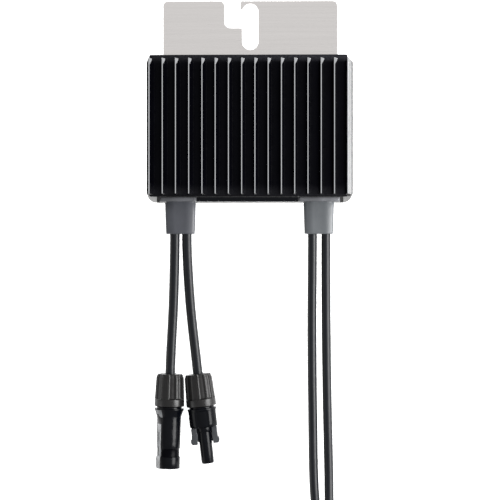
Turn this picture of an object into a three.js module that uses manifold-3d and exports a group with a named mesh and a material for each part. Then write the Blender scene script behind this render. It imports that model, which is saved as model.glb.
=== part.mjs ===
// Photovoltaic power optimizer: a finned black heat sink screwed to a shallow sheet-metal tray, a slotted
// hanging bracket riveted behind it, two grey cable boots, a pair of short input leads and a pair of long
// output leads, each lead ending in a locking single-pole connector.
// Millimetres, +Z up. The case lies on its back: +Z out of the fins, +Y towards the hanging bracket.
import * as THREE from 'three';
import { mergeVertices } from 'three/addons/utils/BufferGeometryUtils.js';
import Module from 'manifold-3d';

const wasm = await Module();
wasm.setup();

// ---- driving dimensions ------------------------------------------------------------------------------
const GAP = 0.3; // air kept between pieces that touch

const CASE_HALF = 64.9; // foot of the heat sink's outer fins, half width
const FIN_TOP = 42.5; // overall depth
const FIN_COUNT = 16;
const FIN_PITCH = 8.15;
const FIN_TIP = 0.9; // fin thickness at the tip
const FIN_ROOT = 1.9; // and at the foot
const FIN_Y = [-49.4, 34.1];
const PLATE_Z = [14.3, 18]; // base plate of the heat sink
const PLATE_Y = [-50.6, 38.5];
const PLATE_HALF = 61.6;
const PLATE_CORNER = 1.6;

const TRAY_HALF = 64.5;
const TRAY_Z = [1.8, 14];
const TRAY_Y = [-54.3, 36];
const TRAY_WALL = 1.2;
const TRAY_CORNER = 5.5;
const TRAY_LIP_TOP = 4; // low lip left along the cable side
const CABLE_CUT = [-58.6, 59]; // opening of the cable side, along X

const BRACKET_HALF = 55.4;
const BRACKET_T = 1.5;
const BRACKET_Y = [-34, 74.1];
const SLOT_HALF = 5.25; // bolt slot, half width
const SLOT_Y = [43.1, 72.5];
const NOTCH_X = -16.5; // side entry that lets the bolt reach the slot
const NOTCH_FLOOR = 56.95;
const HOOK_TIP = [-6.2, 68.8];
const RIVETS = [[-32, 22], [32, 22], [-32, -20], [32, -20]];
const RIVET_R = 2;

const SCREWS = [[-58.8, 29.5], [58.8, 29.5], [-58.8, -43.5], [58.8, -43.5]];
const SCREW_R = 1.5;
const BOSS_R = 3.2;

const LEAD_Z = 9.6; // height of the straight lead axes
const INPUT = { x: [-47.5, -39.8], d: 6.2 };
const OUTPUT = { x: [39.5, 48], d: 5.9 };
const LEAD_START = -40.2; // end of the jackets inside the case
const BOOT_END = -74.1;
const BOOT_Z = [4.4, 14.1];

const NUT_LENGTH = 20.5;
const NUT_R = [8.2, 9.4];
const NUT_PITCH = 1.5; // thread lead of the gland nut, per turn

const COIL = { x: 11.1, y: -300, r: 36, turns: 3.25, step: 6.2 }; // spare output lead, per lead
const COIL_FOOT = 1.2; // the ties lift the coil off the surface by this much

// ---- finishes ----------------------------------------------------------------------------------------
const BLACK_COAT = { color: 0x121316, roughness: 0.5, metalness: 0.3 };
const SHEET = { color: 0xc9cac8, roughness: 0.4, metalness: 0.9 };
const STEEL = { color: 0xb4b6b8, roughness: 0.35, metalness: 1 };
const GREY_RUBBER = { color: 0x8d8f91, roughness: 0.8, metalness: 0 };
const BLACK_RUBBER = { color: 0x1a1a1b, roughness: 0.85, metalness: 0 };
const BLACK_PLASTIC = { color: 0x141518, roughness: 0.3, metalness: 0 };
const NUT_PLASTIC = { color: 0x2a2928, roughness: 0.5, metalness: 0 };
const JACKET = { color: 0x2b2b2d, roughness: 0.55, metalness: 0 };
const TIN = { color: 0xd2d2cc, roughness: 0.3, metalness: 1 };
const COPPER = { color: 0xb8743f, roughness: 0.35, metalness: 1 };
const FERRITE = { color: 0x3a3a3c, roughness: 0.7, metalness: 0.1 };
const BOARD = { color: 0x1f5a35, roughness: 0.5, metalness: 0 };
const EPOXY = { color: 0x18181a, roughness: 0.5, metalness: 0 };
const CAN = { color: 0x3d4a6b, roughness: 0.35, metalness: 0.3 };
const SILICONE = { color: 0x9fb0c4, roughness: 0.9, metalness: 0 };
const FILM = { color: 0xd8cfa8, roughness: 0.6, metalness: 0 };

const product = new THREE.Group();
product.name = 'power_optimizer';

function add(name, geometry, look) {
  const mesh = new THREE.Mesh(geometry, new THREE.MeshStandardMaterial(look));
  mesh.name = name;
  product.add(mesh);
}

// ---- solid helpers -----------------------------------------------------------------------------------
function solid(geometry) {
  const bare = geometry.index ? geometry.toNonIndexed() : geometry.clone();
  bare.deleteAttribute('normal');
  bare.deleteAttribute('uv');
  const welded = mergeVertices(bare, 1e-4);
  return new wasm.Manifold(new wasm.Mesh({
    numProp: 3,
    vertProperties: welded.attributes.position.array,
    triVerts: new Uint32Array(welded.index.array),
  }));
}

function skin(manifold) {
  const mesh = manifold.getMesh();
  const geometry = new THREE.BufferGeometry();
  geometry.setAttribute('position', new THREE.BufferAttribute(new Float32Array(mesh.vertProperties), 3));
  geometry.setIndex(new THREE.BufferAttribute(new Uint32Array(mesh.triVerts), 1));
  return geometry;
}

function join(...parts) {
  return skin(parts.map(solid).reduce((sum, part) => sum.add(part)));
}

function cut(body, ...tools) {
  return skin(tools.map(solid).reduce((rest, tool) => rest.subtract(tool), solid(body)));
}

function common(a, b) {
  return skin(solid(a).intersect(solid(b)));
}

function box(x, y, z) {
  const geometry = new THREE.BoxGeometry(x[1] - x[0], y[1] - y[0], z[1] - z[0]);
  return geometry.translate((x[0] + x[1]) / 2, (y[0] + y[1]) / 2, (z[0] + z[1]) / 2);
}

function rounded(x, y, r) {
  const shape = new THREE.Shape();
  shape.moveTo(x[0] + r, y[0]);
  shape.lineTo(x[1] - r, y[0]);
  shape.absarc(x[1] - r, y[0] + r, r, -Math.PI / 2, 0);
  shape.lineTo(x[1], y[1] - r);
  shape.absarc(x[1] - r, y[1] - r, r, 0, Math.PI / 2);
  shape.lineTo(x[0] + r, y[1]);
  shape.absarc(x[0] + r, y[1] - r, r, Math.PI / 2, Math.PI);
  shape.lineTo(x[0], y[0] + r);
  shape.absarc(x[0] + r, y[0] + r, r, Math.PI, 1.5 * Math.PI);
  return shape;
}

function prism(shape, z, segments = 2) {
  const settings = { depth: z[1] - z[0], bevelEnabled: false, curveSegments: segments };
  return new THREE.ExtrudeGeometry(shape, settings).translate(0, 0, z[0]);
}

// a section drawn in X and Z, pushed along Y
function beam(shape, y, segments = 2) {
  const settings = { depth: y[1] - y[0], bevelEnabled: false, curveSegments: segments };
  return new THREE.ExtrudeGeometry(shape, settings).rotateX(Math.PI / 2).translate(0, y[1], 0);
}

function polygon(points) {
  return new THREE.Shape(points.map(([x, y]) => new THREE.Vector2(x, y)));
}

function turned(profile, segments) {
  return new THREE.LatheGeometry(profile.map(([r, y]) => new THREE.Vector2(r, y)), segments);
}

function upright(x, y, profile, segments) {
  return turned(profile, segments).rotateX(Math.PI / 2).translate(x, y, 0);
}

function rod(x, y, z, r, segments = 16) {
  return upright(x, y, [[0, z[0]], [r, z[0]], [r, z[1]], [0, z[1]]], segments);
}

// a round bar along Y
function bar(x, z, y, r, segments = 16) {
  return turned([[0, y[0]], [r, y[0]], [r, y[1]], [0, y[1]]], segments).translate(x, 0, z);
}

function tube(points, d, steps, sides = 10) {
  const section = new THREE.Shape();
  section.absarc(0, 0, d / 2, 0, 2 * Math.PI);
  const path = new THREE.CatmullRomCurve3(points.map((p) => new THREE.Vector3(...p)), false, 'centripetal');
  return new THREE.ExtrudeGeometry(section, { steps, extrudePath: path, curveSegments: sides / 2 });
}

// ---- heat sink ---------------------------------------------------------------------------------------
function heatSink() {
  const [foot, face] = PLATE_Z;
  const plate = prism(rounded([-PLATE_HALF, PLATE_HALF], PLATE_Y, PLATE_CORNER), PLATE_Z);
  const parts = [plate, box([-CASE_HALF + 0.5, CASE_HALF - 0.5], FIN_Y, PLATE_Z)];
  const first = -((FIN_COUNT - 1) / 2) * FIN_PITCH;
  const sunk = face - 0.5;
  for (let i = 0; i < FIN_COUNT; i += 1) {
    const x = first + i * FIN_PITCH;
    const section = [
      [x - FIN_ROOT / 2, sunk],
      [x + FIN_ROOT / 2, sunk],
      [x + FIN_TIP / 2, FIN_TOP],
      [x - FIN_TIP / 2, FIN_TOP],
    ];
    if (i === 0) {
      section.splice(0, 1, [-CASE_HALF, foot], [x, foot], [x, sunk]);
    }
    if (i === FIN_COUNT - 1) {
      section.splice(1, 1, [x, sunk], [x, foot], [CASE_HALF, foot]);
    }
    parts.push(beam(polygon(section), FIN_Y));
  }
  for (const [x, y] of SCREWS) {
    parts.push(rod(x, y, [TRAY_Z[0] + TRAY_WALL + GAP, foot + 1], BOSS_R, 20));
  }
  parts.push(box([-13, 13], [-4, 8], [12.7, foot + 1])); // pad that meets the transistors
  const holes = SCREWS.map(([x, y]) => rod(x, y, [0, foot + 1.2], SCREW_R + GAP, 12));
  return cut(join(...parts), ...holes);
}
add('heat_sink', heatSink(), BLACK_COAT);

// ---- tray, gasket and cable side ---------------------------------------------------------------------
function rearTray() {
  const outline = rounded([-TRAY_HALF, TRAY_HALF], TRAY_Y, TRAY_CORNER);
  const inside = rounded(
    [-TRAY_HALF + TRAY_WALL, TRAY_HALF - TRAY_WALL],
    [TRAY_Y[0] + TRAY_WALL, TRAY_Y[1] - TRAY_WALL],
    TRAY_CORNER - TRAY_WALL,
  );
  const shell = cut(
    prism(outline, TRAY_Z, 3),
    prism(inside, [TRAY_Z[0] + TRAY_WALL, TRAY_Z[1] + 1], 3),
    box(CABLE_CUT, [TRAY_Y[0] - 1, TRAY_Y[0] + 6], [TRAY_LIP_TOP, TRAY_Z[1] + 1]),
  );
  const tabs = common(
    prism(outline, [TRAY_Z[1] - TRAY_WALL, TRAY_Z[1]], 3),
    join(
      box([-TRAY_HALF, CABLE_CUT[0]], [TRAY_Y[0], PLATE_Y[0] + 0.4], TRAY_Z),
      box([CABLE_CUT[1], TRAY_HALF], [TRAY_Y[0], PLATE_Y[0] + 0.4], TRAY_Z),
    ),
  );
  const holes = [
    ...SCREWS.map(([x, y]) => rod(x, y, [0, 5], SCREW_R + GAP, 10)),
    ...RIVETS.map(([x, y]) => rod(x, y, [0, 5], RIVET_R + GAP, 10)),
  ];
  return cut(join(shell, tabs), ...holes);
}
add('rear_tray', rearTray(), SHEET);

function gasket() {
  const edge = TRAY_HALF - TRAY_WALL - GAP;
  const y = [-50.2, TRAY_Y[1] - TRAY_WALL - GAP];
  return cut(
    prism(rounded([-edge, edge], y, 4), [13, 14]),
    prism(rounded([-edge + 1.4, edge - 1.4], [y[0] + 1.4, y[1] - 1.4], 2.6), [12, 15]),
    ...SCREWS.map(([x, yy]) => rod(x, yy, [12, 15], BOSS_R + GAP, 20)),
  );
}
add('housing_gasket', gasket(), BLACK_RUBBER);

const FLANGE_Y = [-53.7, -51];
const FLANGE_Z = [BOOT_Z[0], TRAY_Z[1] - 0.2];

// grey boot: a rounded sleeve around two leads, with a flange held in the cable side of the tray
function boot(centre, leads, flange) {
  const half = 9.3;
  const sleeve = beam(rounded([-half, half], BOOT_Z, 3.6), [BOOT_END, FLANGE_Y[0] + 0.4], 3);
  const position = sleeve.attributes.position;
  for (let i = 0; i < position.count; i += 1) {
    const far = position.getY(i) < BOOT_END + 1;
    position.setX(i, centre + position.getX(i) * (far ? 0.946 : 1));
    position.setZ(i, LEAD_Z + (position.getZ(i) - LEAD_Z) * (far ? 0.93 : 1));
  }
  const holes = leads.x.map((x) => bar(x, LEAD_Z, [BOOT_END - 1, -45], leads.d / 2 + GAP, 12));
  return cut(join(sleeve, box(flange, FLANGE_Y, FLANGE_Z)), ...holes);
}
add('input_boot', boot(-43.5, INPUT, [-57.3, -33.8]), GREY_RUBBER);
add('output_boot', boot(43.6, OUTPUT, [30.8, 56.9]), GREY_RUBBER);
add('end_closing_bar', box([-33.5, 30.5], FLANGE_Y, FLANGE_Z), BLACK_PLASTIC);

// ---- hanging bracket ---------------------------------------------------------------------------------
function bracket() {
  const [low, high] = BRACKET_Y;
  const side = BRACKET_HALF;
  const top = SLOT_Y[1] - SLOT_HALF;
  const bottom = SLOT_Y[0] + SLOT_HALF;
  const [tipX, tipY] = HOOK_TIP;
  const tipAngle = Math.PI - Math.asin((tipY - top) / SLOT_HALF);
  const outline = new THREE.Shape();
  outline.moveTo(-side, low);
  outline.lineTo(side, low);
  outline.lineTo(side, high - 3);
  outline.absarc(side - 3, high - 3, 3, 0, Math.PI / 2);
  outline.lineTo(tipX + 0.8, high);
  outline.lineTo(tipX, high - 0.8);
  outline.lineTo(tipX, tipY);
  outline.absarc(0, top, SLOT_HALF, tipAngle, 0, true);
  outline.lineTo(SLOT_HALF, bottom);
  outline.absarc(0, bottom, SLOT_HALF, 0, -Math.PI, true);
  outline.lineTo(-SLOT_HALF, NOTCH_FLOOR);
  outline.lineTo(NOTCH_X + 4, NOTCH_FLOOR);
  outline.absarc(NOTCH_X + 4, NOTCH_FLOOR + 4, 4, -Math.PI / 2, -Math.PI, true);
  outline.lineTo(NOTCH_X, high - 2.8);
  outline.absarc(NOTCH_X - 2.8, high - 2.8, 2.8, 0, Math.PI / 2);
  outline.lineTo(-side + 3, high);
  outline.absarc(-side + 3, high - 3, 3, Math.PI / 2, Math.PI);
  const holes = RIVETS.map(([x, y]) => rod(x, y, [-1, 3], RIVET_R + GAP, 12));
  return cut(prism(outline, [0, BRACKET_T], 6), ...holes);
}
add('mounting_bracket', bracket(), SHEET);

RIVETS.forEach(([x, y], i) => {
  const head = TRAY_Z[0] + TRAY_WALL + GAP;
  const profile = [[0, 0.1], [RIVET_R, 0.1], [RIVET_R, head], [3.6, head], [2.8, head + 0.9], [0, head + 0.9]];
  add(`bracket_rivet_${i + 1}`, upright(x, y, profile, 12), STEEL);
});

SCREWS.forEach(([x, y], i) => {
  const head = TRAY_Z[0] - GAP;
  const profile = [[0, 0.2], [2.3, 0.2], [2.7, 0.6], [2.7, head], [SCREW_R, head], [SCREW_R, 14.6], [0, 14.6]];
  const drive = prism(polygon([0, 1, 2, 3, 4, 5].map((k) => {
    const angle = (k * Math.PI) / 3;
    return [x + 1.2 * Math.cos(angle), y + 1.2 * Math.sin(angle)];
  })), [-1, 0.8]);
  add(`cover_screw_${i + 1}`, cut(upright(x, y, profile, 16), drive), STEEL);
});

// ---- electronics -------------------------------------------------------------------------------------
const BOARD_Z = [5.2, 6.8];
const ON_BOARD = BOARD_Z[1] + GAP;
const BOARD_Y = [-38.6, 31];

add('insulation_sheet', cut(
  box([-53.5, 53.5], BOARD_Y, [3.3, 3.6]),
  ...RIVETS.map(([x, y]) => rod(x, y, [3, 4], 4.4, 12)),
), FILM);
add('circuit_board', box([-53, 53], BOARD_Y, BOARD_Z), BOARD);

for (const [x, n] of [[-7, 1], [7, 2]]) {
  const tab = box([x - 5, x + 5], [5, 7.6], [ON_BOARD, ON_BOARD + 1.3]);
  const body = box([x - 5, x + 5], [-3.4, 5.4], [ON_BOARD, 11.3]);
  const legs = [-3, 0, 3].map((dx) => box([x + dx - 0.5, x + dx + 0.5], [-6, -3], [ON_BOARD, ON_BOARD + 1.6]));
  add(`power_transistor_${n}`, join(body, tab, ...legs), EPOXY);
}
add('thermal_pad', box([-12.6, 12.6], [-3.6, 7.6], [11.6, 12.4]), SILICONE);

function inductorCore(x, y) {
  const windows = [-7, 7].map((dx) => box([x + dx - 2.8, x + dx + 2.8], [y - 12, y + 12], [8.5, 12.1]));
  return cut(box([x - 13, x + 13], [y - 10, y + 10], [ON_BOARD, 13.6]), ...windows);
}
add('inductor_core', inductorCore(31, 12), FERRITE);
add('inductor_winding', cut(
  prism(rounded([21.5, 40.5], [-3, 27], 4), [8.8, 11.8]),
  prism(rounded([26.5, 35.5], [1.7, 22.3], 0.4), [8, 13]),
), COPPER);

const CAN_Y = [2, 20];
add('bulk_capacitor', turned([
  [0, CAN_Y[0]], [2.8, CAN_Y[0]], [3.2, CAN_Y[0] + 0.5], [3.2, CAN_Y[1] - 0.5], [2.8, CAN_Y[1]], [0, CAN_Y[1]],
], 16).translate(-32, 0, ON_BOARD + 3.3), CAN);
add('controller_chip', box([-30, -20], [-24, -14], [ON_BOARD, ON_BOARD + 1.4]), EPOXY);
add('signal_transformer', join(
  box([-6, 6], [-27, -17], [ON_BOARD, ON_BOARD + 1]),
  box([-4.5, 4.5], [-26, -18], [ON_BOARD + 0.8, ON_BOARD + 5.6]),
), FERRITE);
add('bypass_diode', box([14, 22], [-27, -20.5], [ON_BOARD, ON_BOARD + 2.6]), EPOXY);

function terminal(x) {
  return join(
    box([x - 2.2, x + 2.2], [-36, -30.5], [ON_BOARD, 11.6]),
    bar(x, LEAD_Z, [LEAD_START + GAP, -35], 1.7, 12),
  );
}
add('input_terminal_plus', terminal(INPUT.x[0]), TIN);
add('input_terminal_minus', terminal(INPUT.x[1]), TIN);
add('output_terminal_plus', terminal(OUTPUT.x[0]), TIN);
add('output_terminal_minus', terminal(OUTPUT.x[1]), TIN);

// ---- connectors --------------------------------------------------------------------------------------
// Each one is drawn along +Y from the cable end of its nut, then turned and moved to its seat.
const INPUT_SOCKET = { name: 'input_socket', d: INPUT.d, x: -50.4, y: -162.5, turn: Math.PI - 0.027 };
const INPUT_NOSE = { name: 'input_nose', d: INPUT.d, x: -32.9, y: -162.5, turn: Math.PI + 0.113 };
const OUTPUT_NOSE = { name: 'output_nose', d: OUTPUT.d, x: -64, y: COIL.y - COIL.r, turn: Math.PI / 2 };
const OUTPUT_SOCKET = { name: 'output_socket', d: OUTPUT.d, x: -64, y: COIL.y - COIL.r - 20.5, turn: Math.PI / 2 };
const STUB = 6.5; // threaded stub of a connector body, measured from the cable end of the nut
const LEAD_END = 18; // how far the jacket reaches into a connector

function seat(geometry, at) {
  return geometry.rotateZ(at.turn).translate(at.x, at.y, LEAD_Z);
}

function along(at, s) {
  return [at.x - s * Math.sin(at.turn), at.y + s * Math.cos(at.turn), LEAD_Z];
}

function nut(bore) {
  const [r0, r1] = NUT_R;
  const rib = 0.5;
  const profile = [
    [bore, 0], [r0 - 1, 0], [r0, 1], [r0 + 0.25, 3.6], [r0 + 0.3, 4.2], [r1 - 0.1, 15.6], [r1, 16.2],
    [r1, NUT_LENGTH], [6.4, NUT_LENGTH], [6.4, 2.4], [bore, 2.4], [bore, 0],
  ];
  const geometry = turned(profile, 40);
  const position = geometry.attributes.position;
  for (let i = 0; i < position.count; i += 1) {
    const row = i % profile.length;
    const column = Math.floor(i / profile.length);
    if ((row === 4 || row === 5) && column % 2 === 1) {
      const r = profile[row][0];
      position.setX(i, position.getX(i) * ((r - rib) / r));
      position.setZ(i, position.getZ(i) * ((r - rib) / r));
    }
  }
  return geometry;
}

function clampRing(bore) {
  return turned([[bore, 2.7], [6, 2.7], [6, 5], [5.4, 6.2], [bore, 6.2], [bore, 2.7]], 16);
}

// shrouded half: long barrel with two latch windows and an open mouth
function socketBody(bore) {
  const barrel = turned([
    [bore, STUB], [6, STUB], [6, 20.8], [7.9, 20.8], [7.9, 21.8], [9.2, 21.8], [9.2, 24], [7.9, 26], [7.7, 28],
    [7.3, 46.7], [6.9, 47.3], [6.9, 51.8], [7.6, 52.4], [7.6, 59.2], [7.1, 59.7],
    [4.7, 59.7], [4.7, 30], [2.5, 30], [2.5, 24.5], [bore, 24.5], [bore, STUB],
  ], 24);
  return cut(barrel, box([5.6, 12], [39, 46], [-3.4, 3.4]), box([-12, -5.6], [39, 46], [-3.4, 3.4]));
}

function socketContact() {
  return turned([[0, 18.4], [2.7, 18.4], [2.7, 24], [2, 24.4], [2, 46.4], [1, 47.7], [0, 47.7]], 12);
}

// nose half: short collar, slim nose and two springy latch arms
function noseBody(bore) {
  return turned([
    [bore, STUB], [6, STUB], [6, 20.8], [7.9, 20.8], [7.9, 21.8], [9.2, 21.8], [9.2, 24], [9, 33], [8.2, 33.8],
    [3.9, 33.8], [3.9, 55.4], [3.4, 56], [2.9, 56], [2.9, 24.5], [bore, 24.5], [bore, STUB],
  ], 24);
}

function noseContact() {
  return turned([
    [0, 18.4], [2.6, 18.4], [2.6, 55.2], [1.7, 55.2], [1.7, 42], [0, 42],
  ], 12);
}

function latchArm(side) {
  const section = polygon([
    [4.7, 34.1], [7.8, 34.1], [8, 38], [8.7, 41.2], [8.7, 42.2], [7.2, 44.5], [5.2, 44.1],
  ].map(([r, s]) => [side * r, s]));
  const settings = { depth: 5.6, bevelEnabled: false };
  return new THREE.ExtrudeGeometry(section, settings).translate(0, 0, -2.8);
}

function connector(at, nose) {
  const bore = at.d / 2 + GAP;
  add(`${at.name}_nut`, seat(nut(bore + 0.2), at), NUT_PLASTIC);
  add(`${at.name}_clamp_ring`, seat(clampRing(bore), at), GREY_RUBBER);
  add(`${at.name}_body`, seat(nose ? noseBody(bore) : socketBody(bore), at), BLACK_PLASTIC);
  add(`${at.name}_contact`, seat(nose ? noseContact() : socketContact(), at), TIN);
  if (nose) {
    add(`${at.name}_latch_1`, seat(latchArm(-1), at), BLACK_PLASTIC);
    add(`${at.name}_latch_2`, seat(latchArm(1), at), BLACK_PLASTIC);
  }
}
connector(INPUT_SOCKET, false);
connector(INPUT_NOSE, true);
connector(OUTPUT_SOCKET, false);
connector(OUTPUT_NOSE, true);

// ---- leads -------------------------------------------------------------------------------------------
function inputLead(x, at) {
  return tube([
    [x, LEAD_START, LEAD_Z], [x, -60, LEAD_Z], [x, -82, LEAD_Z],
    [x + (at.x - x) * 0.3, -118, LEAD_Z], along(at, -8), along(at, 4), along(at, LEAD_END),
  ], INPUT.d, 16);
}
add('input_lead_plus', inputLead(INPUT.x[0], INPUT_SOCKET), JACKET);
add('input_lead_minus', inputLead(INPUT.x[1], INPUT_NOSE), JACKET);

const REST = COIL_FOOT + OUTPUT.d / 2;
const LAYER = 6;
const COIL_EDGE = COIL.r + OUTPUT.d / 2 + 0.2;
const COIL_HOLE = COIL.r - COIL.step * (COIL.turns / 2) - OUTPUT.d / 2 - 0.2;
const SIDE_X = COIL.x + COIL.r; // where a lead meets its coil
const ENTRY_Y = COIL.y + Math.sqrt(COIL_EDGE ** 2 - (COIL.r - OUTPUT.d / 2) ** 2) + 1.5;

add('output_lead_plus', tube([
  [OUTPUT.x[0], LEAD_START, LEAD_Z], [OUTPUT.x[0], -60, LEAD_Z], [OUTPUT.x[0], -84, LEAD_Z],
  [39.2, -130, 7.4], [39.6, -180, 4.6], [41, -240, REST], [43.6, -260, REST], [46.2, ENTRY_Y, REST],
], OUTPUT.d, 30), JACKET);
add('output_lead_minus', tube([
  [OUTPUT.x[1], LEAD_START, LEAD_Z], [OUTPUT.x[1], -60, LEAD_Z], [OUTPUT.x[1], -84, LEAD_Z],
  [48.2, -130, 7.4], [48.9, -180, 4.6], [50, -232, REST + 0.2], [50, -250, 8.2], [49.2, -264, 13.4],
  [48, ENTRY_Y, REST + 2 * LAYER + 0.6],
], OUTPUT.d, 32), JACKET);

// the spare length of each output lead is wound in two layers; its turns touch and are one ring each
function coil(z) {
  const ring = [[COIL_HOLE, z[0]], [COIL_EDGE, z[0]], [COIL_EDGE, z[1]], [COIL_HOLE, z[1]], [COIL_HOLE, z[0]]];
  return upright(COIL.x, COIL.y, ring, 40);
}
const COIL_LOW = [COIL_FOOT, COIL_FOOT + 2 * LAYER - 0.2];
const COIL_HIGH = [COIL_FOOT + 2 * LAYER + 0.1, COIL_FOOT + 4 * LAYER];
add('output_coil_plus', coil(COIL_LOW), JACKET);
add('output_coil_minus', coil(COIL_HIGH), JACKET);

const EXIT_X = COIL.x - Math.sqrt(COIL_EDGE ** 2 - (COIL.r - OUTPUT.d / 2) ** 2) - 1.5;
add('output_tail_plus', tube([
  [EXIT_X, COIL.y - COIL.r, REST + LAYER], [-28, COIL.y - COIL.r, LEAD_Z + 0.2],
  along(OUTPUT_NOSE, -8), along(OUTPUT_NOSE, 4), along(OUTPUT_NOSE, LEAD_END),
], OUTPUT.d, 8), JACKET);
const TAIL_START = 6;
const TAIL_STEPS = 12;

// leaves the upper coil, comes down and moves over to the second connector in one gentle bend
function upperTail() {
  const from = [TAIL_START, COIL.y - COIL.r, REST + 3 * LAYER + 0.1];
  const to = along(OUTPUT_SOCKET, -8);
  const points = [];
  for (let i = 1; i <= TAIL_STEPS; i += 1) {
    const t = i / TAIL_STEPS;
    const eased = (1 - Math.cos(Math.PI * t)) / 2;
    const x = from[0] + (to[0] - from[0]) * t;
    if (x < EXIT_X) {
      points.push([x, from[1] + (to[1] - from[1]) * eased, from[2] + (to[2] - from[2]) * eased]);
    }
  }
  return [...points, along(OUTPUT_SOCKET, 4), along(OUTPUT_SOCKET, LEAD_END)];
}
add('output_tail_minus', tube(upperTail(), OUTPUT.d, 12), JACKET);

// straps round both coils
function strap(angle) {
  const inner = [COIL_HOLE - GAP, COIL_EDGE + GAP];
  const z = [COIL_FOOT - GAP, COIL_HIGH[1] + GAP];
  const outer = rounded([inner[0] - 0.8, inner[1] + 0.8], [z[0] - 0.8, z[1] + 0.8], 1.6);
  const band = cut(beam(outer, [-2.2, 2.2], 3), box(inner, [-4, 4], z));
  return band.rotateZ(angle).translate(COIL.x, COIL.y, 0);
}
add('coil_strap_1', strap(Math.PI * 0.78), BLACK_PLASTIC);
add('coil_strap_2', strap(Math.PI * 0.25), BLACK_PLASTIC);

export default product;
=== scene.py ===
"""Looks of the power optimizer: skins, leads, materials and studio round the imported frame.

Shapes are written in millimetres in the frame's axes and scaled by MM.
"""

import math

import bpy
from mathutils import Matrix, Vector

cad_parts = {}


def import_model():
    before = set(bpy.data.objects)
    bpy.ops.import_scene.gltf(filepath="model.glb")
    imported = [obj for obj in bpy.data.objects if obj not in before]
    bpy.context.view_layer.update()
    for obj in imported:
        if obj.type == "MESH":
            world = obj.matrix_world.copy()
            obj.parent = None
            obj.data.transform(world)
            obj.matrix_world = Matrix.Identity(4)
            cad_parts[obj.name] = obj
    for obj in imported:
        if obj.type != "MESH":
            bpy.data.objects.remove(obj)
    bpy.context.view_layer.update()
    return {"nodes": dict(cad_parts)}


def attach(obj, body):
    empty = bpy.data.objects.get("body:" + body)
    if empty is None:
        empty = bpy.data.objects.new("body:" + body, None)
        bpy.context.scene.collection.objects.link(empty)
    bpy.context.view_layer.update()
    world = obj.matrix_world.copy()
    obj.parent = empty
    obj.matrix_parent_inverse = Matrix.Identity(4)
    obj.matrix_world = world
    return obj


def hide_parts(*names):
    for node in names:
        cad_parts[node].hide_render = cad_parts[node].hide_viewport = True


MM = 0.001
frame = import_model()
nodes = frame["nodes"]
ROOT = "optimizer"
LEAD_Z = 9.6  # height of the lead axes at the boots and at the connectors
INPUT_D, OUTPUT_D = 6.2, 5.9  # lead diameters
INPUT_X, OUTPUT_X = (-47.5, -39.8), (39.5, 48)  # x of the plus and minus lead in each boot


# ---- camera: straight above, a little to the right, turned back to the middle of the housing ----
CAMERA_PLACE, CAMERA_TURN, CAMERA_LENS = (35, -84.2, 1200), 1.68, 135.7


def make_camera():
    data = bpy.data.cameras.new("camera")
    data.sensor_width = 36
    data.lens = CAMERA_LENS
    data.clip_start = 0.05
    data.clip_end = 20
    cam = bpy.data.objects.new("camera", data)
    cam.location = Vector(CAMERA_PLACE) * MM
    cam.rotation_euler = (0, math.radians(CAMERA_TURN), 0)
    bpy.context.scene.collection.objects.link(cam)
    bpy.context.scene.camera = cam


make_camera()


# ---- materials -----------------------------------------------------------------------------
DRIFT_SCALE, GLOSS_SCALE, SPECKLE_SCALE = 90, 420, 900  # noise scales of moulded pieces, per metre
LINE_SCALE, BAND_SCALE = 5200, 900  # noise scales of brushed sheet, per metre


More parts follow.
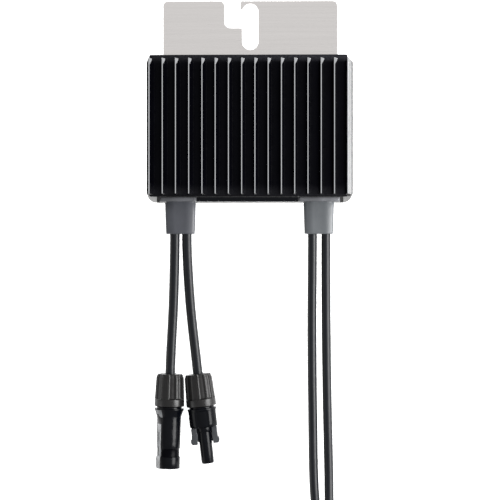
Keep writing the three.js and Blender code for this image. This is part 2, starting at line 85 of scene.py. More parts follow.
class Nodes:
    """Small helper that wires one node material."""

    def __init__(self, name):
        self.mat = bpy.data.materials.new(name)
        self.mat.use_nodes = True
        self.tree = self.mat.node_tree
        self.bsdf = self.tree.nodes["Principled BSDF"]
        self.place = self.new("ShaderNodeTexCoord").outputs["Object"]

    def new(self, kind, **values):
        node = self.tree.nodes.new(kind)
        for key, value in values.items():
            setattr(node, key, value)
        return node

    def link(self, a, b):
        self.tree.links.new(a, b)

    def set(self, **values):
        for key, value in values.items():
            self.bsdf.inputs[key.replace("_", " ")].default_value = value

    def noise(self, scale, detail=4, rough=0.5, stretch=(1, 1, 1)):
        mapping = self.new("ShaderNodeMapping")
        mapping.inputs["Scale"].default_value = [scale * s for s in stretch]
        self.link(self.place, mapping.inputs["Vector"])
        tex = self.new("ShaderNodeTexNoise")
        tex.inputs["Scale"].default_value = 1
        tex.inputs["Detail"].default_value = detail
        tex.inputs["Roughness"].default_value = rough
        self.link(mapping.outputs["Vector"], tex.inputs["Vector"])
        return tex.outputs["Fac"]

    def remap(self, value, low, high, start=0.3, end=0.7, kind="LINEAR"):
        node = self.new("ShaderNodeMapRange", interpolation_type=kind)
        limits = {"From Min": start, "From Max": end, "To Min": low, "To Max": high}
        for key, number in limits.items():
            node.inputs[key].default_value = number
        self.link(value, node.inputs["Value"])
        return node.outputs["Result"]

    def colours(self, value, *stops):
        ramp = self.new("ShaderNodeValToRGB")
        elements = ramp.color_ramp.elements
        while len(elements) < len(stops):
            elements.new(0.5)
        for element, (at, colour) in zip(elements, stops):
            element.position = at
            element.color = (*colour, 1)
        self.link(value, ramp.inputs["Fac"])
        return ramp.outputs["Color"]

    def bump(self, value, distance, strength=1.0):
        node = self.new("ShaderNodeBump")
        node.inputs["Distance"].default_value = distance
        node.inputs["Strength"].default_value = strength
        self.link(value, node.inputs["Height"])
        self.link(node.outputs["Normal"], self.bsdf.inputs["Normal"])

    def painted_light(self, bands):
        """Speckled painted light along y: lighter bands that stand in for light at the fin ends.
        Each band: y where it starts, y where it is full, colour.
        """
        colour_in = self.bsdf.inputs["Base Color"]
        split = self.new("ShaderNodeSeparateXYZ")
        self.link(self.place, split.inputs[0])
        speckle = self.new("ShaderNodeTexNoise")
        speckle.inputs["Scale"].default_value = SPECKLE_SCALE
        self.link(self.place, speckle.inputs["Vector"])
        grain = self.remap(speckle.outputs["Fac"], 0.5, 1, 0.35, 0.65)
        for start, full, colour in bands:
            amount = self.new("ShaderNodeMath", operation="MULTIPLY")
            fade = self.remap(split.outputs["Y"], 0, 1, start * MM, full * MM, "SMOOTHSTEP")
            self.link(fade, amount.inputs[0])
            self.link(grain, amount.inputs[1])
            mix = self.new("ShaderNodeMixRGB")
            mix.inputs["Color2"].default_value = (*colour, 1)
            self.link(amount.outputs[0], mix.inputs["Fac"])
            self.link(colour_in.links[0].from_socket, mix.inputs["Color1"])
            self.link(mix.outputs["Color"], colour_in)


def shade(colour, k):
    return tuple(min(1, c * k) for c in colour)


def moulded(name, colour, rough, spread=0.08, spec=0.5, grain=2500, depth=2e-5, mottle=0.25,
            painted_light=()):
    """Moulded plastic, rubber or paint: slow colour drift, fine grain and uneven gloss."""
    n = Nodes(name)
    drift = n.noise(DRIFT_SCALE, 5)
    tints = (0.3, shade(colour, 1 - mottle)), (0.7, shade(colour, 1 + mottle))
    n.link(n.colours(drift, *tints), n.bsdf.inputs["Base Color"])
    gloss = n.noise(GLOSS_SCALE, 4)
    n.link(n.remap(gloss, rough - spread, rough + spread), n.bsdf.inputs["Roughness"])
    n.bump(n.noise(grain, 2), depth, 0.5)
    n.set(Specular_IOR_Level=spec)
    # Optional speckled bands of painted light along y.
    if painted_light:
        n.painted_light(painted_light)
    return n.mat


def brushed(name, colour, rough, stretch=(1, 0.02, 1), depth=6e-6, drift=0.06):
    """Brushed metal: long fine scratches along the axis with the smallest stretch."""
    n = Nodes(name)
    lines = n.noise(LINE_SCALE, 3, 0.6, stretch)
    bands = n.noise(BAND_SCALE, 3, 0.5, stretch)
    tints = (0.3, shade(colour, 1 - drift)), (0.7, shade(colour, 1 + drift))
    n.link(n.colours(bands, *tints), n.bsdf.inputs["Base Color"])
    n.link(n.remap(lines, rough - 0.06, rough + 0.1), n.bsdf.inputs["Roughness"])
    n.bump(lines, depth, 0.4)
    n.set(Metallic=1.0)
    return n.mat


# moulded: name, colour, roughness, its spread, specular level, grain, bump depth, mottle
# brushed: name, colour, roughness, stretch, bump depth, colour drift
COAT_LOOK = ((0.0005, 0.0005, 0.001), 0.3, 0.05, 0.032, 3600, 1.0e-5, 0.2)
# Lighter speckled bands on the coat near both fin ends are painted light: they stand in for light
# that enters the open ends of the valleys.
END_PAINTED_LIGHT = ((33.2, 37.2, (0.013, 0.013, 0.0155)), (-42.5, -48.0, (0.0038, 0.0038, 0.0046)))
COAT = moulded("black_coat", *COAT_LOOK, painted_light=END_PAINTED_LIGHT)
# The socket's groove takes the coat's darker, duller look: painted shade in the recess.
GROOVE_SHADE = moulded("dark_groove", *COAT_LOOK)
FLANK = moulded("satin_flank", (0.004, 0.0042, 0.0055), 0.27, 0.04, 0.05, 3600, 4e-6, 0.2)
# The left flank and the slanted feet get a coat that reflects nothing: painted shade that keeps
# the unlit side dark, while the upper right flank keeps its satin reflection.
SHADED_FLANK = moulded("matte_flank", (0.008, 0.008, 0.009), 0.6, 0.05, 0.0, 3600, 1.0e-5, 0.2)
BARE = brushed("bare_fin_edge", (0.52, 0.525, 0.53), 0.26, (1, 0.03, 1), 1e-6)
SHEET = brushed("brushed_sheet", (0.645, 0.617, 0.595), 0.2, (0.012, 1, 1), 2e-6, 0.025)
TRAY = brushed("tray_sheet", (0.5, 0.495, 0.485), 0.3, (0.02, 1, 1))
STEEL = brushed("zinc_steel", (0.6, 0.6, 0.62), 0.32, (1, 1, 0.2))
# Two copies of one grey rubber: the input boot's darker copy is painted shade and the output
# boot's lighter copy is painted light, for light falling from the right.
BOOT = moulded("grey_rubber", (0.0275, 0.029, 0.0345), 0.42, 0.06, 0.4, 1800, 3e-5, 0.12)
LIT_BOOT = moulded("pale_grey_rubber", (0.041, 0.0445, 0.048), 0.42, 0.06, 0.42, 1800, 3e-5, 0.12)
RIBBED = moulded("ribbed_flange", (0.045, 0.046, 0.05), 0.4, 0.08, 0.4, 900, 4e-4, 0.45)
SEAL = moulded("seal_rubber", (0.005, 0.005, 0.005), 0.75, 0.06, 0.35, 1500, 3e-5)
GLOSS = moulded("gloss_black", (0.0008, 0.001, 0.0017), 0.22, 0.06, 0.095, 260, 2.2e-4, 0.2)
# Latch arms in a lighter grey than the gloss body.
LATCH = moulded("worn_latch", (0.022, 0.0235, 0.026), 0.4, 0.08, 0.3, 700, 1.2e-4, 0.4)
# Lighter grey for the socket body's strip and cone facet: scuffs and a painted highlight on the
# strip, a painted highlight on the facet.
SCUFF_AND_HIGHLIGHT = moulded("scuffed_black", (0.12, 0.124, 0.128), 0.34, 0.1, 0.5, 700, 2.4e-4, 0.85)
NUT = moulded("nut_plastic", (0.0038, 0.0034, 0.0032), 0.34, 0.08, 0.27, 2600, 3e-5, 0.15)
JACKET = moulded("cable_jacket", (0.0012, 0.0018, 0.003), 0.36, 0.05, 0.2, 2200, 2e-5, 0.15)
TIN = brushed("tinned_copper", (0.75, 0.74, 0.7), 0.28)
COPPER = brushed("copper", (0.72, 0.36, 0.17), 0.32)
FERRITE = moulded("ferrite", (0.045, 0.045, 0.048), 0.7, 0.08, 0.4, 1300, 4e-5)
BOARD = moulded("solder_mask", (0.02, 0.14, 0.06), 0.4, 0.08, 0.5, 700, 3e-5, 0.3)
EPOXY = moulded("epoxy", (0.014, 0.014, 0.015), 0.5, 0.06, 0.5, 2200, 2e-5)
CAN = moulded("can_sleeve", (0.08, 0.11, 0.2), 0.35)
PAD = moulded("gap_filler", (0.38, 0.47, 0.56), 0.85, 0.05, 0.3, 900, 6e-5)
FILM = moulded("film", (0.72, 0.66, 0.45), 0.45)


# ---- mesh helpers --------------------------------------------------------------------------
def piece(name, verts, faces, materials, replaced=(), body=ROOT, pick=None, sharp=32, slot=None,
          at=None):
    """A mesh piece from millimetre vertices, riding on a body and standing for CAD nodes."""
    mesh = bpy.data.meshes.new(name)
    mesh.from_pydata([Vector(v) * MM for v in verts], [], faces)
    for mat in materials:
        mesh.materials.append(mat)
    if at is not None:
        mesh.transform(at)
    for face in mesh.polygons:
        face.use_smooth = True
        if pick:
            face.material_index = pick(face)
    mesh.update()
    mesh.set_sharp_from_angle(angle=math.radians(sharp))
    obj = bpy.data.objects.new(name, mesh)
    bpy.context.scene.collection.objects.link(obj)
    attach(obj, body)
    if replaced:
        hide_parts(*replaced)
    return obj


def bevel(obj, width, angle=35, segments=2, flat=False):
    """Rounds the sharp edges; flat first joins the triangles of a flat face."""
    if flat:
        join = obj.modifiers.new("flat", "DECIMATE")
        join.decimate_type = "DISSOLVE"
        join.angle_limit = math.radians(0.5)
    edge = obj.modifiers.new("edge", "BEVEL")
    edge.width = width * MM
    edge.segments = segments
    edge.limit_method = "ANGLE"
    edge.angle_limit = math.radians(angle)


def loops(rings, closed_ends=True):
    """Vertices and quads through rings of equal length, with end caps."""
    count = len(rings[0])
    verts = [p for ring in rings for p in ring]
    faces = []
    for r in range(len(rings) - 1):
        here, there = r * count, (r + 1) * count
        for i in range(count):
            j = (i + 1) % count
            faces.append((here + i, here + j, there + j, there + i))
    if closed_ends:
        faces.append(tuple(reversed(range(count))))
        faces.append(tuple(range((len(rings) - 1) * count, len(rings) * count)))
    return verts, faces


def merge(*parts):
    verts, faces = [], []
    for part_verts, part_faces in parts:
        base = len(verts)
        verts += part_verts
        faces += [tuple(i + base for i in face) for face in part_faces]
    return verts, faces


def rounded(x0, x1, y0, y1, r, steps=8):
    """Anticlockwise outline of a rounded rectangle."""
    points = []
    for cx, cy, start in ((x1 - r, y0 + r, -90), (x1 - r, y1 - r, 0),
                          (x0 + r, y1 - r, 90), (x0 + r, y0 + r, 180)):
        for k in range(steps + 1):
            a = math.radians(start + 90 * k / steps)
            points.append((cx + r * math.cos(a), cy + r * math.sin(a)))
    return points


def ease(x, a, b):
    """Smooth step from 0 at a to 1 at b."""
    t = min(1, max(0, (x - a) / (b - a)))
    return t * t * (3 - 2 * t)


# ---- heat sink -----------------------------------------------------------------------------
FINS, PITCH = 16, 8.15
TIP, ROOT_HALF = 0.33, 0.95  # half the thickness of a fin at its tip and at its root
FACE, TOP = 18.0, 42.5  # height of the face between the fins and of the fin tips
FIN_Y = (-49.4, 34.1)
FLANK_Z = 22  # where the slanted foot of the outer fins ends
PLATE_X, PLATE_Y = (-63.1, 61.6), (-50.6, 38.5)
FILLET = ((1.9, 0), (1.25, 0.25), (ROOT_HALF, 0.9))  # at the foot of a fin: half width, height
GROUND = ((-TIP, 0.3), (-TIP, 0.1), (0.06 - TIP, 0), (TIP - 0.06, 0), (TIP, 0.1), (TIP, 0.3))
# Claws: bare metal on the right fin faces near the bracket end, a painted highlight for light
# entering the valley ends.
HIGHLIGHT_CLAW = ((0.2, 30.7), (0.65, 31.7), (1, 32.8), (0.9, 33.6))  # share of its reach, y
HIGHLIGHT_CLAW_REACH = ((31, 0.3), (TOP - 2.5, 1.1), (TOP - 0.3, 1.5), (TOP - 0.12, 1.35))  # z, reach
PLATE_RIM = ((14.3, 0.3), (14.6, 0), (17.3, 0), (17.75, 0.18), (17.95, 0.6))  # z, inset


def fin_x(i):
    return (i - (FINS - 1) / 2) * PITCH


def fin_section():
    """Outline of the sink across the fins, as x and z."""
    outline = [(-64.6, 14.3), (-64.9, 14.6), (-64.0, FLANK_Z)]
    for i in range(FINS):
        x = fin_x(i)
        if i > 0:
            outline += [(x - half, FACE + rise) for half, rise in FILLET]
        outline += [(x - TIP, TOP - 0.1), (x + TIP, TOP - 0.1)]
        if i < FINS - 1:
            outline += [(x + half, FACE + rise) for half, rise in reversed(FILLET)]
    return outline + [(64.0, FLANK_Z), (64.9, 14.6), (64.6, 14.3)]


def make_sink():
    """The coated sink, and its bare ground edges with a claw at the bracket end of each: the claws
    are bare metal on the right fin faces, a painted highlight for light that enters the valley
    ends.
    """
    section = fin_section()
    fins = loops([[(x, y, z) for x, z in section] for y in FIN_Y])
    plate = loops([[(x, y, z) for x, y in rounded(PLATE_X[0] + inset, PLATE_X[1] - inset,
                                                  PLATE_Y[0] + inset, PLATE_Y[1] - inset,
                                                  1.0 - inset)] for z, inset in PLATE_RIM])

    # Outer flanks: the upper right one satin, the others in the painted shade that reflects
    # nothing.
    def flank_shading_of(face):
        if abs(face.center.x) > PLATE_X[1] * MM and abs(face.normal.y) < 0.5:
            return 1 if face.center.x > 0 and face.center.z > FLANK_Z * MM else 2
        return 0
    piece("sink_skin", *merge(fins, plate), [COAT, FLANK, SHADED_FLANK], ["heat_sink"], sharp=40,
          slot="black_coat", pick=flank_shading_of)
    ends = (FIN_Y[0] + 0.05, FIN_Y[1] - 0.05)
    bars = [loops([[(fin_x(i) + x, y, TOP - down) for x, down in GROUND] for y in ends])
            for i in range(FINS)]
    highlight_claws = []
    for i in range(FINS - 1):
        x = fin_x(i) + TIP
        highlight_claws.append(loops([[(x - 0.2, 29.6, z), *((x + reach * k, y, z) for k, y in HIGHLIGHT_CLAW),
                             (x - 0.2, ends[1], z)] for z, reach in HIGHLIGHT_CLAW_REACH]))
    return piece("fin_edges", *merge(*bars, *highlight_claws), [BARE], sharp=40, slot="sheet")


FIN_EDGES = make_sink()


# ---- boots ---------------------------------------------------------------------------------
BOOT_Z, SWELL = 9.35, 0.16
SLEEVE = ((-52.5, 9.0, 3.9), (-54.2, 9.0, 3.9), (-54.25, 9.6, 4.6), (-54.5, 9.75, 4.75),
          (-62, 9.5, 4.7), (-72.6, 9.15, 4.55), (-73.8, 9.1, 4.5), (-74.1, 8.8, 4.2),
          (-74.12, 7.2, 3.2))  # y, half width, half height
FLANGE_RIM = ((-51.0, 0.3), (-51.3, 0), (-53.3, 0), (-53.75, 0.4))  # y, inset


def make_boot(name, centre, flange, leads, rubber, node):
    """A tapered sleeve that swells over each of its two leads, and its ribbed flange."""
    def ring(y, half, high, power=4.6, count=72):
        points = []
        for k in range(count):
            a = 2 * math.pi * k / count
            c, s = math.cos(a), math.sin(a)
            x = half * math.copysign(abs(c) ** (2 / power), c)
            phase = (x - (leads[0] - centre)) / (leads[1] - leads[0])
            swell = SWELL * math.cos(2 * math.pi * phase) * (1 - abs(x / half) ** 6)
            z = BOOT_Z + (high + swell) * math.copysign(abs(s) ** (2 / power), s)
            points.append((centre + x, y, z))
        return points
    sleeve = loops([ring(*row) for row in SLEEVE])
    edge = loops([[(x, y, z) for x, z in rounded(flange[0] + inset, flange[1] - inset, 4.4 + inset,
                                                 13.8 - inset, 1.2 - inset * 0.5, 5)]
                  for y, inset in FLANGE_RIM])
    piece(name, *merge(sleeve, edge), [rubber, RIBBED], [node], sharp=50, slot="grey_rubber",
          pick=lambda f: 1 if f.index >= len(sleeve[1]) else 0)


# The input boot gets the darker, shaded copy; the output boot the lighter, lit copy.
make_boot("input_boot_skin", -43.9, (-56.9, -33.8), INPUT_X, BOOT, "input_boot")
make_boot("output_boot_skin", 43.5, (30.8, 56.9), OUTPUT_X, LIT_BOOT, "output_boot")


def slab(x0, x1, y0, y1, z0, z1):
    return loops([[(x, y, z) for x, y in rounded(x0, x1, y0, y1, 0.15, 2)] for z in (z0, z1)])


# A dark seal block that closes the cable side behind the flanges and beside them: painted shade
# for the gap, which the shadowless lights would light.
piece("end_seal", *merge(slab(-58.4, 58.8, -50.95, -50.1, 4.2, 12.9),
                         slab(-58.45, -57.05, -53.9, -51.0, 4.2, 13.6),
                         slab(57.05, 58.85, -53.9, -51.0, 4.2, 13.6)), [SEAL], slot="black_rubber")


# ---- connectors ----------------------------------------------------------------------------
class Seat:
    """A connector's place: drawn along +Y from the cable end of its nut, then turned and moved."""

    def __init__(self, name, x, y, turn, d):
        self.name, self.x, self.y, self.turn, self.d = name, x, y, turn, d
        move = Matrix.Translation(Vector((x, y, LEAD_Z)) * MM)
        self.matrix = move @ Matrix.Rotation(turn, 4, "Z")

    def along(self, s):
        """The point of the connector's axis at s."""
        return (self.x - s * math.sin(self.turn), self.y + s * math.cos(self.turn), LEAD_Z)


COIL_X, COIL_Y, COIL_R, TURNS = 11.1, -300, 36, 3.25
STEP = 6.2  # from one turn of the coil to the next
EXIT_Y = COIL_Y - COIL_R
INPUT_SEAT_Y, OUTPUT_SEAT_X = -162.5, -64
SEATS = {row[0]: Seat(*row) for row in (
    ("input_socket", -50.4, INPUT_SEAT_Y, math.pi - 0.027, INPUT_D),
    ("input_nose", -32.9, INPUT_SEAT_Y, math.pi + 0.113, INPUT_D),
    ("output_nose", OUTPUT_SEAT_X, EXIT_Y, math.pi / 2, OUTPUT_D),
    ("output_socket", OUTPUT_SEAT_X, EXIT_Y - 20.5, math.pi / 2, OUTPUT_D),
)}
FLUTES, FLUTE_DEPTH = 12, 0.95
NUT_SIDES, SOCKET_SIDES, NOSE_SIDES = 200, 180, 160


def turned(profile, count, warp):
    """A shape turned about Y from (radius, s) rows; warp(row, s, radius, angle) is the radius."""
    rings = []
    for row, (r, s) in enumerate(profile):
        ring = []
        for k in range(count):
            a = 2 * math.pi * k / count
            rr = warp(row, s, r, a)
            ring.append((rr * math.cos(a), s, rr * math.sin(a)))
        rings.append(ring)
    verts, faces = loops(rings, closed_ends=False)
    return verts, [tuple(reversed(f)) for f in faces]


def make_nut(seat):
    """The fluted gland nut, with a plain collar at its far end."""
    bore = seat.d / 2 + 0.5
    fluted = (0.8, 1.2, 1.6, 2.0, 2.4, 2.8, 3.2, 3.8, 4.6, 6, 8, 10, 12, 13.6, 14.8, 15.2, 15.5,
              15.8, 16.05)
    profile = [(bore, 2.4), (bore, 0.5), (bore + 0.4, 0), (7.3, 0), (7.75, 0.12), (8.0, 0.45)]
    profile += [(8.0 + 0.6 * ease(s, 0.4, 2.6) + 0.048 * max(0, s - 0.4), s) for s in fluted]
    profile += [(9.4, 16.3), (9.42, 17), (9.45, 19.6), (9.35, 20.2), (9.0, 20.5)]
    profile += [(6.4, 20.5), (6.4, 2.4), (bore, 2.4)]

    def warp(row, s, r, a):
        if r < 7.2 or s > 16.2:
            return r
        part = (a * FLUTES / (2 * math.pi) + 0.06) % 1
        across = 1 - abs(2 * part - 1) ** 6
        reach = ease(s, -0.6, 1.4) * (1 - ease(s, 15.2, 16.1))
        return r - FLUTE_DEPTH * across * reach
    return piece(f"{seat.name}_nut_skin", *turned(profile, NUT_SIDES, warp), [NUT],
                 [f"{seat.name}_nut"], f"{seat.name}_gland", sharp=30, slot="nut_plastic",
                 at=seat.matrix)


def stub(bore):
    """The start of a body's profile: the thread core under the nut and the neck in front of it."""
    return [(bore, 6.5), (6, 6.5), (6, 20.7), (7.7, 20.7), (7.9, 20.9), (7.9, 21.6)]


def make_socket_body(seat, roll):
    """The socket barrel: two flats with latch windows, a scuffed strip with a painted highlight, a
    painted highlight on the cone, and a groove in painted shade.
    """
    bore = seat.d / 2 + 0.3
    profile = stub(bore) + [
        (9.1, 21.7), (9.3, 21.9), (9.3, 22.6), (9.0, 23.2), (8.3, 25.2), (7.8, 26.6), (7.7, 27.2),
        (7.65, 31.6), (7.6, 36.9), (7.6, 37.1), (7.55, 40), (7.5, 44), (7.4, 46.1), (7.35, 46.3),
        (7.3, 46.9), (6.95, 47.2), (6.85, 47.5), (6.85, 51.6), (7.0, 51.9), (7.5, 52.3),
        (7.6, 52.6), (7.6, 59.2), (7.45, 59.55), (7.1, 59.7), (5.0, 59.7), (4.7, 59.4), (4.7, 30),
        (2.5, 30), (2.5, 24.5), (bore, 24.5), (bore, 6.5)]
    cone, barrel, window, neck = range(8, 12), range(13, 29), range(18, 23), range(21, 25)
    side = math.radians(roll)

    def warp(row, s, r, a):
        if row not in barrel:
            return r
        facing = abs(math.cos(a - side))
        flat = 6.55 if s < 52 else 6.75
        out = min(r + 0.25 * facing ** 6, flat / max(facing, 0.2))
        opening = 37.05 < s < 46.2 and abs(math.sin(a - side)) * out < 1.3
        return out - 1.1 if opening and facing > 0.5 else out

    # The cone facet is a painted highlight; the strip on the flat is scuffs and painted highlight.
    def scuff_and_highlight_of(face):
        row, k = divmod(face.index, SOCKET_SIDES)
        angle = 2 * math.pi * (k + 0.5) / SOCKET_SIDES
        facing = math.cos(angle - side)
        if row in cone:
            return 1 if 30 + 9 * max(0, row - 9) < math.degrees(angle) < 62 else 0
        if row in barrel and facing > 0.87:
            dark_edge = row <= 20 and math.degrees(angle) % 360 > 330
            return 0 if dark_edge or (row in window and facing > 0.985) else 1
        # Rows of the neck groove get the painted shade.
        return 2 if row in neck else 0
    return piece(f"{seat.name}_body_skin", *turned(profile, SOCKET_SIDES, warp),
                 [GLOSS, SCUFF_AND_HIGHLIGHT, GROOVE_SHADE], [f"{seat.name}_body"], sharp=28, slot="black_plastic",
                 at=seat.matrix, pick=scuff_and_highlight_of)


def make_nose_body(seat, roll):
    """The nose connector's collar with two flats, its nose and the tongue under the latch arms."""
    bore = seat.d / 2 + 0.3
    profile = stub(bore) + [
        (9.0, 21.7), (9.25, 21.95), (9.25, 22.8), (9.05, 23.4), (9.0, 24), (9.0, 31.5),
        (8.9, 32.6), (8.5, 33.4), (7.6, 33.8), (4.9, 33.8), (4.7, 34), (4.6, 36.2), (4.4, 36.6),
        (4.1, 36.9), (4.05, 37.4), (4.05, 41), (4.0, 55.8), (3.75, 56.5), (3.4, 56.8),
        (2.9, 56.8), (2.9, 24.5), (bore, 24.5), (bore, 6.5)]
    collar = range(9, 15)
    side = math.radians(roll)

    def warp(row, s, r, a):
        if row not in collar:
            return r
        facing = abs(math.cos(a - side))
        out = min(r + 0.3 * facing ** 8, 8.6 / max(facing, 0.2))
        return out - 0.45 * ease(math.sin(a - side) ** 2, 0.75, 0.9)
    plan = rounded(-5.2, 5.2, 32.6, 43.6, 1.2, 4)
    tongue = loops([[(x, s, z) for x, s in plan] for z in (-5.3, -4.4)])
    return piece(f"{seat.name}_body_skin", *merge(turned(profile, NOSE_SIDES, warp), tongue),
                 [GLOSS], [f"{seat.name}_body"], sharp=28, slot="black_plastic", at=seat.matrix)


LATCH_PLAN = [(4.95, 34.1), (8.1, 34.1), (8.1, 38), (8.3, 40.4), (8.95, 41.2), (8.95, 43.2),
              (8.2, 44.4), (5.05, 44.4), (4.55, 37.9), (4.95, 37)]


def make_latch(seat, index):
    """A latch arm with its barb; the first one is on the left of the axis."""
    plan = [(-r, s) for r, s in reversed(LATCH_PLAN)] if index == 1 else LATCH_PLAN
    verts, faces = loops([[(r, s, z) for r, s in plan] for z in (-2.8, 2.8)])
    obj = piece(f"{seat.name}_latch_{index}_skin", verts, faces, [LATCH],
                [f"{seat.name}_latch_{index}"], f"{seat.name}_arm_{index}", slot="black_plastic",
                at=seat.matrix)
    bevel(obj, 0.22, segments=3)
    return obj


def make_connector(seat, roll):
    """All pieces of a connector, for the lead that it ends."""
    nose = seat.name.endswith("nose")
    parts = [make_nut(seat), (make_nose_body if nose else make_socket_body)(seat, roll)]
    if nose:
        parts += [make_latch(seat, 1), make_latch(seat, 2)]
    return parts + [nodes[f"{seat.name}_clamp_ring"], nodes[f"{seat.name}_contact"]]


# ---- leads ---------------------------------------------------------------------------------
def spline(points, spacing, steps=24):
    """Centripetal Catmull-Rom line through the points, as points a given distance apart."""
    knots = [Vector(p) for p in points]
    knots = [2 * knots[0] - knots[1], *knots, 2 * knots[-1] - knots[-2]]
    fine = []
    for i in range(1, len(knots) - 2):
        p = knots[i - 1:i + 3]
        t = [0.0]
        for a, b in zip(p, p[1:]):
            t.append(t[-1] + math.sqrt((b - a).length))
        for k in range(steps):
            u = t[1] + (t[2] - t[1]) * k / steps
            a1 = p[0].lerp(p[1], (u - t[0]) / (t[1] - t[0]))
            a2 = p[1].lerp(p[2], (u - t[1]) / (t[2] - t[1]))
            a3 = p[2].lerp(p[3], (u - t[2]) / (t[3] - t[2]))
            b1 = a1.lerp(a2, (u - t[0]) / (t[2] - t[0]))
            b2 = a2.lerp(a3, (u - t[1]) / (t[3] - t[1]))
            fine.append(b1.lerp(b2, (u - t[1]) / (t[2] - t[1])))
    fine.append(knots[-2])
    line, left = [fine[0]], spacing
    for a, b in zip(fine, fine[1:]):
        span, gone = (b - a).length, 0.0
        while span - gone >= left:
            gone += left
            line.append(a.lerp(b, gone / span))
            left = spacing
        left -= span - gone
    if (line[-1] - fine[-1]).length > spacing * 0.2:
        line.append(fine[-1])
    return line


def make_lead(name, points, d, replaced, parts):
    """A jacketed lead along the points. The connector parts that it ends in are not used."""
    line = spline(points, 2.2)
    curve = bpy.data.curves.new(name, "CURVE")
    curve.dimensions = "3D"
    curve.bevel_depth = d / 2 * MM
    curve.bevel_resolution = 6
    curve.use_fill_caps = True
    strand = curve.splines.new("POLY")
    strand.points.add(len(line) - 1)
    for spot, p in zip(strand.points, line):
        spot.co = (*(p * MM), 1)
    strand.use_smooth = True
    curve.materials.append(JACKET)
    obj = bpy.data.objects.new(name, curve)
    bpy.context.scene.collection.objects.link(obj)
    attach(obj, ROOT)
    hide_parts(*replaced)


REST = 1.2 + OUTPUT_D / 2  # axis height of the lowest turns, which lie on the cable ties
LAYER = 6  # from the lower layer of a coil to its upper one
STACK = 12.1  # from the coil of the plus lead to that of the minus lead on top of it
ENTRY_Y, EXIT_X = -277.5, -11.4  # where the leads run into the coil and leave it


def coil(z):
    """Two layers: inwards on the lower one, up at the inside, outwards on the upper one."""
    half, soft, points = TURNS / 2, 0.06, []
    steps = int(TURNS * 16)
    for i in range(steps + 1):
        u = TURNS * i / steps
        off = abs(u - half)
        bend = math.hypot(off, soft) - (math.hypot(half, soft) - half) * off / half
        r = COIL_R - STEP * half + STEP * bend
        rise = LAYER * ease(u, half - 0.17, half + 0.17)
        a = 2 * math.pi * u
        points.append((COIL_X + r * math.cos(a), COIL_Y - r * math.sin(a), z + rise))
    return points


def input_path(x, seat):
    return [(x, -68, LEAD_Z), (x, -82, LEAD_Z), (x + (seat.x - x) * 0.3, -118, LEAD_Z),
            seat.along(-8), seat.along(4)]


def upper_tail(seat):
    """From the top of the stack down to the connector, in an S seen from above."""
    start, end, points = (6, EXIT_Y, REST + STACK + LAYER), seat.along(-8), []
    for i in range(1, 13):
        t = i / 12
        eased = (1 - math.cos(math.pi * t)) / 2
        x, y, z = (a + (b - a) * k for a, b, k in zip(start, end, (t, eased, eased)))
        if x < EXIT_X:
            points.append((x, y, z))
    return [*points, seat.along(4)]


STRAP_IN, STRAP_OUT, STRAP_HALF = 3.05, 3.95, 1.9  # off the lead axes, and half the strap's width
HEAD_AT = 0.9  # angle of the strap's head in its own section


def make_strap(index, angle):
    """A cable tie drawn tight round the turns it crosses, with its head and a short tail."""
    c, s, turn = math.cos(angle), math.sin(angle), (-angle / (2 * math.pi)) % 1
    spots = []
    for base in (REST, REST + STACK):
        line = coil(base)
        for lap in range(4):
            at = (turn + lap) / TURNS * (len(line) - 1)
            if at <= len(line) - 1:
                i = min(int(at), len(line) - 2)
                p = Vector(line[i]).lerp(Vector(line[i + 1]), at - i)
                spots.append((math.hypot(p.x - COIL_X, p.y - COIL_Y), p.z))

    def world(r, z, w):
        return (COIL_X + r * c - w * s, COIL_Y + r * s + w * c, z)

    def edge(a, thick):
        n = (math.cos(a), math.sin(a))
        r, z = max(spots, key=lambda p: p[0] * n[0] + p[1] * n[1])
        return r + thick * n[0], z + thick * n[1]
    count, rings = 64, []
    for thick, w in ((STRAP_IN, -STRAP_HALF), (STRAP_OUT, -STRAP_HALF),
                     (STRAP_OUT, STRAP_HALF), (STRAP_IN, STRAP_HALF)):
        rings.append([world(*edge(2 * math.pi * k / count, thick), w) for k in range(count)])
    verts, faces = [p for ring in rings for p in ring], []
    for r in range(4):
        here, there = r * count, (r + 1) % 4 * count
        for k in range(count):
            j = (k + 1) % count
            faces.append((here + k, there + k, there + j, here + j))
    n, t = (math.cos(HEAD_AT), math.sin(HEAD_AT)), (math.sin(HEAD_AT), -math.cos(HEAD_AT))
    r, z = edge(HEAD_AT, STRAP_OUT)
    blocks = []
    for n0, n1, t0, t1, w in ((-0.2, 2.4, -2.2, 2.2, 2.7), (0.7, 1.6, 2.0, 8.5, 1.8)):
        corners = ((n0, t0), (n1, t0), (n1, t1), (n0, t1))
        blocks.append(loops([[world(r + n[0] * a + t[0] * b, z + n[1] * a + t[1] * b, e)
                              for a, b in corners] for e in (w, -w)]))
    return piece(f"coil_strap_{index}_skin", *merge((verts, faces), *blocks), [GLOSS],
                 [f"coil_strap_{index}"], slot="black_plastic")


STRAPS = [make_strap(1, math.pi * 0.78), make_strap(2, math.pi * 0.25)]
for pole, x, end, roll in (("plus", INPUT_X[0], "input_socket", 24),
                           ("minus", INPUT_X[1], "input_nose", 0)):
    seat = SEATS[end]
    make_lead(f"input_lead_{pole}_cable", input_path(x, seat), INPUT_D,
              [f"input_lead_{pole}"], make_connector(seat, roll))
x, seat = OUTPUT_X[0], SEATS["output_nose"]
make_lead("output_lead_plus_cable",
          [(x, -70, LEAD_Z), (x, -84, LEAD_Z), (39.2, -130, 7.4), (39.6, -180, 4.6),
           (41, -240, REST), (43.6, -260, REST), (46.2, ENTRY_Y, REST), *coil(REST),
           (EXIT_X, EXIT_Y, REST + LAYER), (-28, EXIT_Y, LEAD_Z + 0.2), seat.along(-8),
           seat.along(4)],
          OUTPUT_D, ["output_lead_plus", "output_coil_plus", "output_tail_plus"],
          make_connector(seat, 0) + STRAPS)
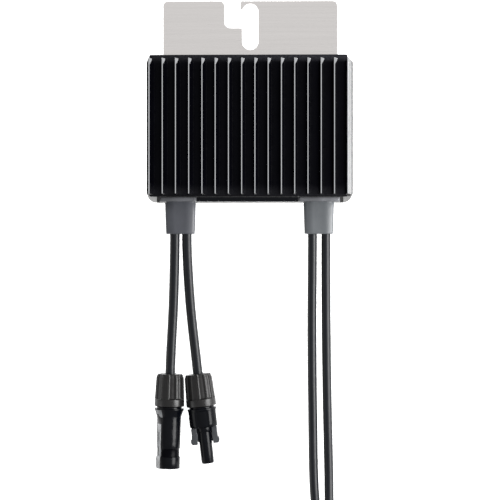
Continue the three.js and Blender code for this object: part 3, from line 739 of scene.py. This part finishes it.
x, seat = OUTPUT_X[1], SEATS["output_socket"]
make_lead("output_lead_minus_cable",
          [(x, -70, LEAD_Z), (x, -84, LEAD_Z), (48.2, -130, 7.4), (48.9, -180, 4.6),
           (50, -232, REST + 0.2), (50, -250, 8.2), (49.2, -264, 13.4),
           (48, ENTRY_Y, REST + 12.6), *coil(REST + STACK), *upper_tail(seat)],
          OUTPUT_D, ["output_lead_minus", "output_coil_minus", "output_tail_minus"],
          make_connector(seat, 20))


# ---- CAD nodes that stay, with their own finishes ------------------------------------------
def dress(name, material, edge=0.15):
    """A CAD node's own material, flat shading and edges rounded by this many millimetres."""
    node = nodes[name]
    node.data.materials.clear()
    node.data.materials.append(material)
    for face in node.data.polygons:
        face.use_smooth = False
    if edge:
        bevel(node, edge, flat=True)


KEPT = {
    "rear_tray": (TRAY, 0.3), "mounting_bracket": (SHEET, 0.2), "end_closing_bar": (GLOSS, 0.35),
    "housing_gasket": (SEAL, 0), "insulation_sheet": (FILM, 0), "circuit_board": (BOARD, 0.1),
    "power_transistor_1": (EPOXY, 0.15), "power_transistor_2": (EPOXY, 0.15),
    "thermal_pad": (PAD, 0.1), "inductor_core": (FERRITE, 0.3), "inductor_winding": (COPPER, 0.3),
    "bulk_capacitor": (CAN, 0), "controller_chip": (EPOXY, 0.1),
    "signal_transformer": (FERRITE, 0.2), "bypass_diode": (EPOXY, 0.15),
}
for name, (material, edge) in KEPT.items():
    dress(name, material, edge)
for i in range(1, 5):
    dress(f"bracket_rivet_{i}", STEEL, 0.12)
    dress(f"cover_screw_{i}", STEEL, 0.12)
for side in ("input", "output"):
    for pole in ("plus", "minus"):
        dress(f"{side}_terminal_{pole}", TIN, 0.15)
for name in SEATS:
    dress(f"{name}_clamp_ring", SEAL, 0)
    dress(f"{name}_contact", TIN, 0)


# ---- floor and lights ----------------------------------------------------------------------
FLOOR_HALF, FLOOR_Z = 9000, -0.5


def make_floor():
    n = Nodes("pale_floor")
    tints = (0.3, (0.67, 0.67, 0.67)), (0.7, (0.7, 0.7, 0.7))
    n.link(n.colours(n.noise(6, 3), *tints), n.bsdf.inputs["Base Color"])
    n.set(Roughness=0.9, Specular_IOR_Level=0.1, Emission_Color=(1, 1, 1, 1),
          Emission_Strength=0.42)
    verts = [(x * FLOOR_HALF, y * FLOOR_HALF, FLOOR_Z)
             for x, y in ((-1, -1), (1, -1), (1, 1), (-1, 1))]
    mesh = bpy.data.meshes.new("floor")
    mesh.from_pydata([Vector(v) * MM for v in verts], [], [(0, 1, 2, 3)])
    mesh.materials.append(n.mat)
    floor = bpy.data.objects.new("floor", mesh)
    bpy.context.scene.collection.objects.link(floor)


def softbox(name, place, aim, size, radiance, spared=()):
    """A rectangular light, in metres. The spared objects are kept out of it."""
    data = bpy.data.lights.new(name, "AREA")
    data.shape = "RECTANGLE"
    data.size, data.size_y = size
    data.energy = radiance * math.pi * size[0] * size[1]
    data.use_shadow = False
    light = bpy.data.objects.new(name, data)
    light.location = place
    light.visible_camera = False
    light.rotation_euler = (Vector(aim) - Vector(place)).to_track_quat("-Z", "Y").to_euler()
    bpy.context.scene.collection.objects.link(light)
    if spared:
        group = bpy.data.collections.new(f"{name}_spared")
        for obj in spared:
            group.objects.link(obj)
        for entry in group.collection_objects:
            entry.light_linking.link_state = "EXCLUDE"
        light.light_linking.receiver_collection = group


make_floor()
# The low lights would burn out bare metal in the side views.
BARE_METAL = [nodes["mounting_bracket"], nodes["rear_tray"], FIN_EDGES]
softbox("overhead", (0.1, 0, 1.9), (0, 0, 0), (1.6, 1.6), 0.17)
softbox("key_right", (0.3, -0.06, 0.2), (0.03, -0.06, 0.02), (0.5, 0.22), 17.0, BARE_METAL)
softbox("fill_left", (-0.42, -0.3, 0.16), (-0.05, -0.1, 0.02), (0.4, 0.2), 1.8, BARE_METAL)

world = bpy.data.worlds.new("studio")
world.use_nodes = True
background = world.node_tree.nodes["Background"]
background.inputs["Color"].default_value = (0.97, 0.98, 1, 1)
background.inputs["Strength"].default_value = 0.83
bpy.context.scene.world = world
bpy.context.scene.view_settings.view_transform = "Standard"
